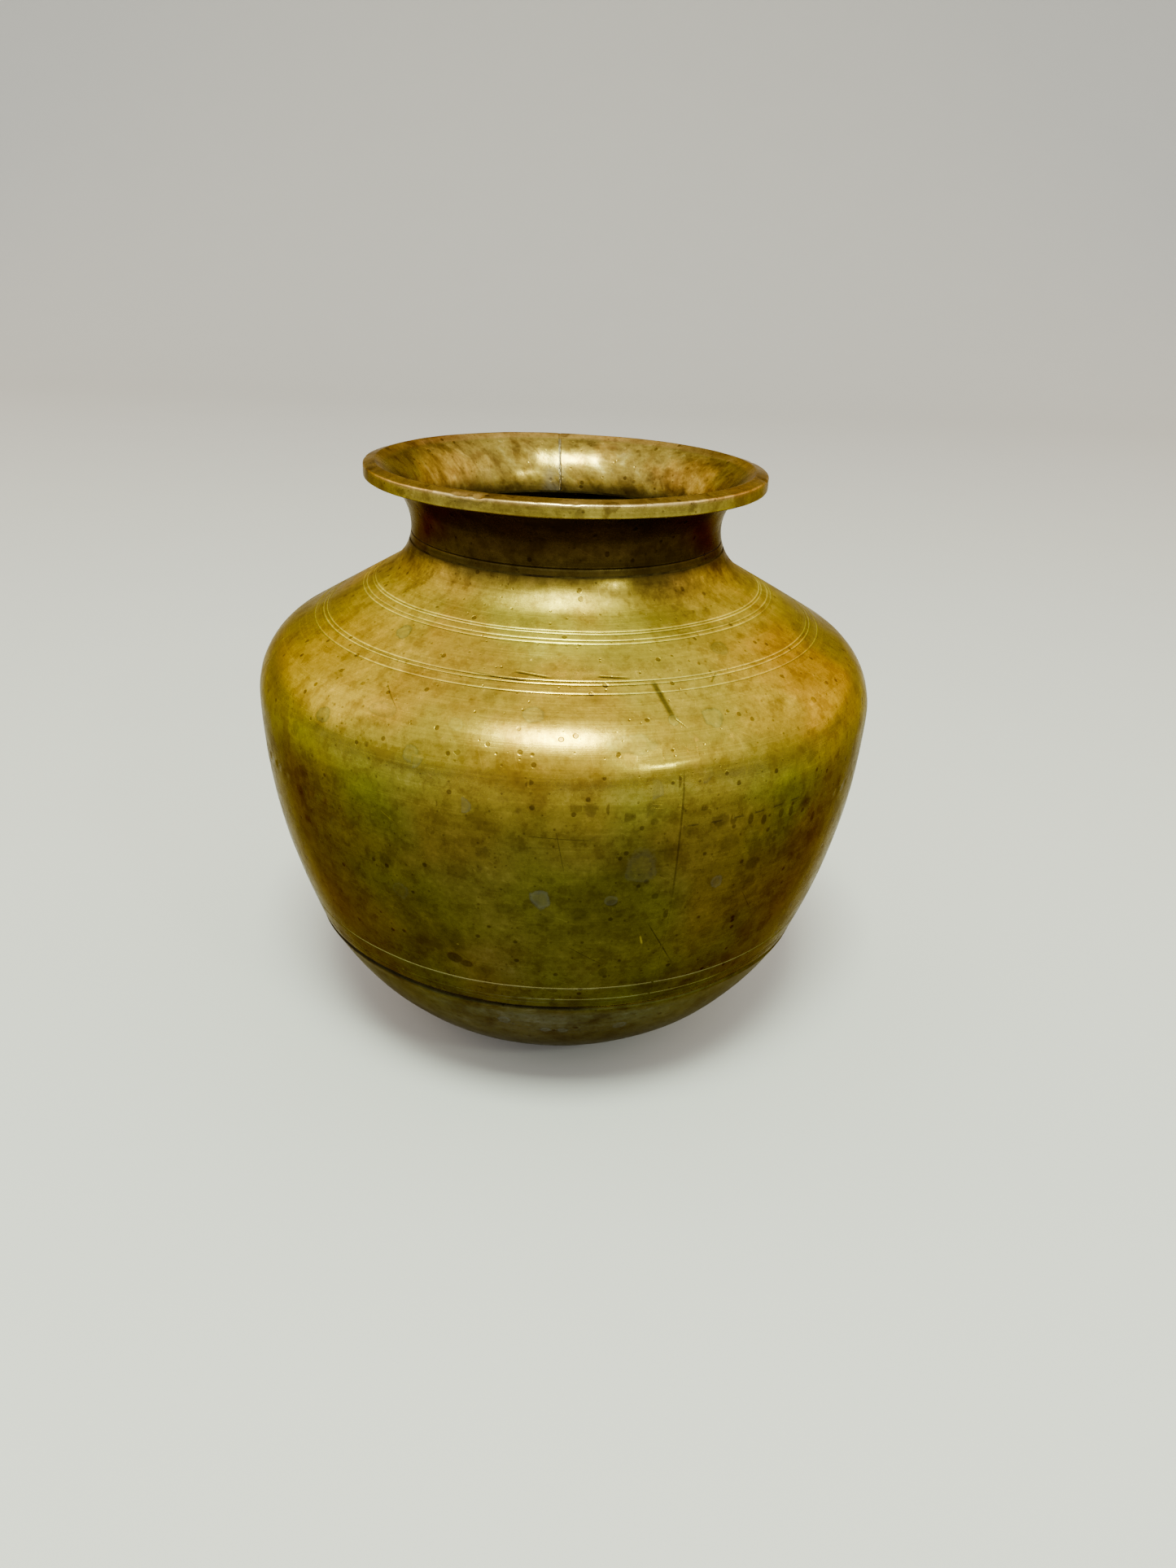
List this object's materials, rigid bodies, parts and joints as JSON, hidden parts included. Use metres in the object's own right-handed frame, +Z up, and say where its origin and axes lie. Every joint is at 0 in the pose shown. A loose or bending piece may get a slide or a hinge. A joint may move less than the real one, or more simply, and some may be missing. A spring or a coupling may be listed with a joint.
{
  "type": "lota water pot",
  "caption": "Round-bellied brass water pot with a sloping ringed shoulder, a narrow flared neck, a thick turned-out lip and a small flat to stand on.",
  "frame": {"origin": "centre of the flat that the pot stands on", "axes": "+Z up along the pot's axis of turning; the front, beside the belly's upright seam, faces -Y"},
  "size_m": [0.14, 0.14, 0.1361],
  "materials": {
    "neck_brass": "worn satin, with brown mottling and hammer streaks inside",
    "shoulder_brass": "old polish, golden brown, fine scratches and stain spots",
    "belly_brass": "dull olive-brown patina over an old polish",
    "base_brass": "dark greenish grey patina",
    "brazing_metal": "dark, slightly grainy, filed flush"
  },
  "bodies": {
    "root": {"neck_collar": "neck_brass", "neck_seam_braze": "brazing_metal", "neck_joint_braze": "brazing_metal", "shoulder_shell": "shoulder_brass", "girth_braze": "brazing_metal", "belly_shell": "belly_brass", "belly_seam_braze": "brazing_metal", "base_braze": "brazing_metal", "base_dish": "base_brass"}
  },
  "joints": []
}
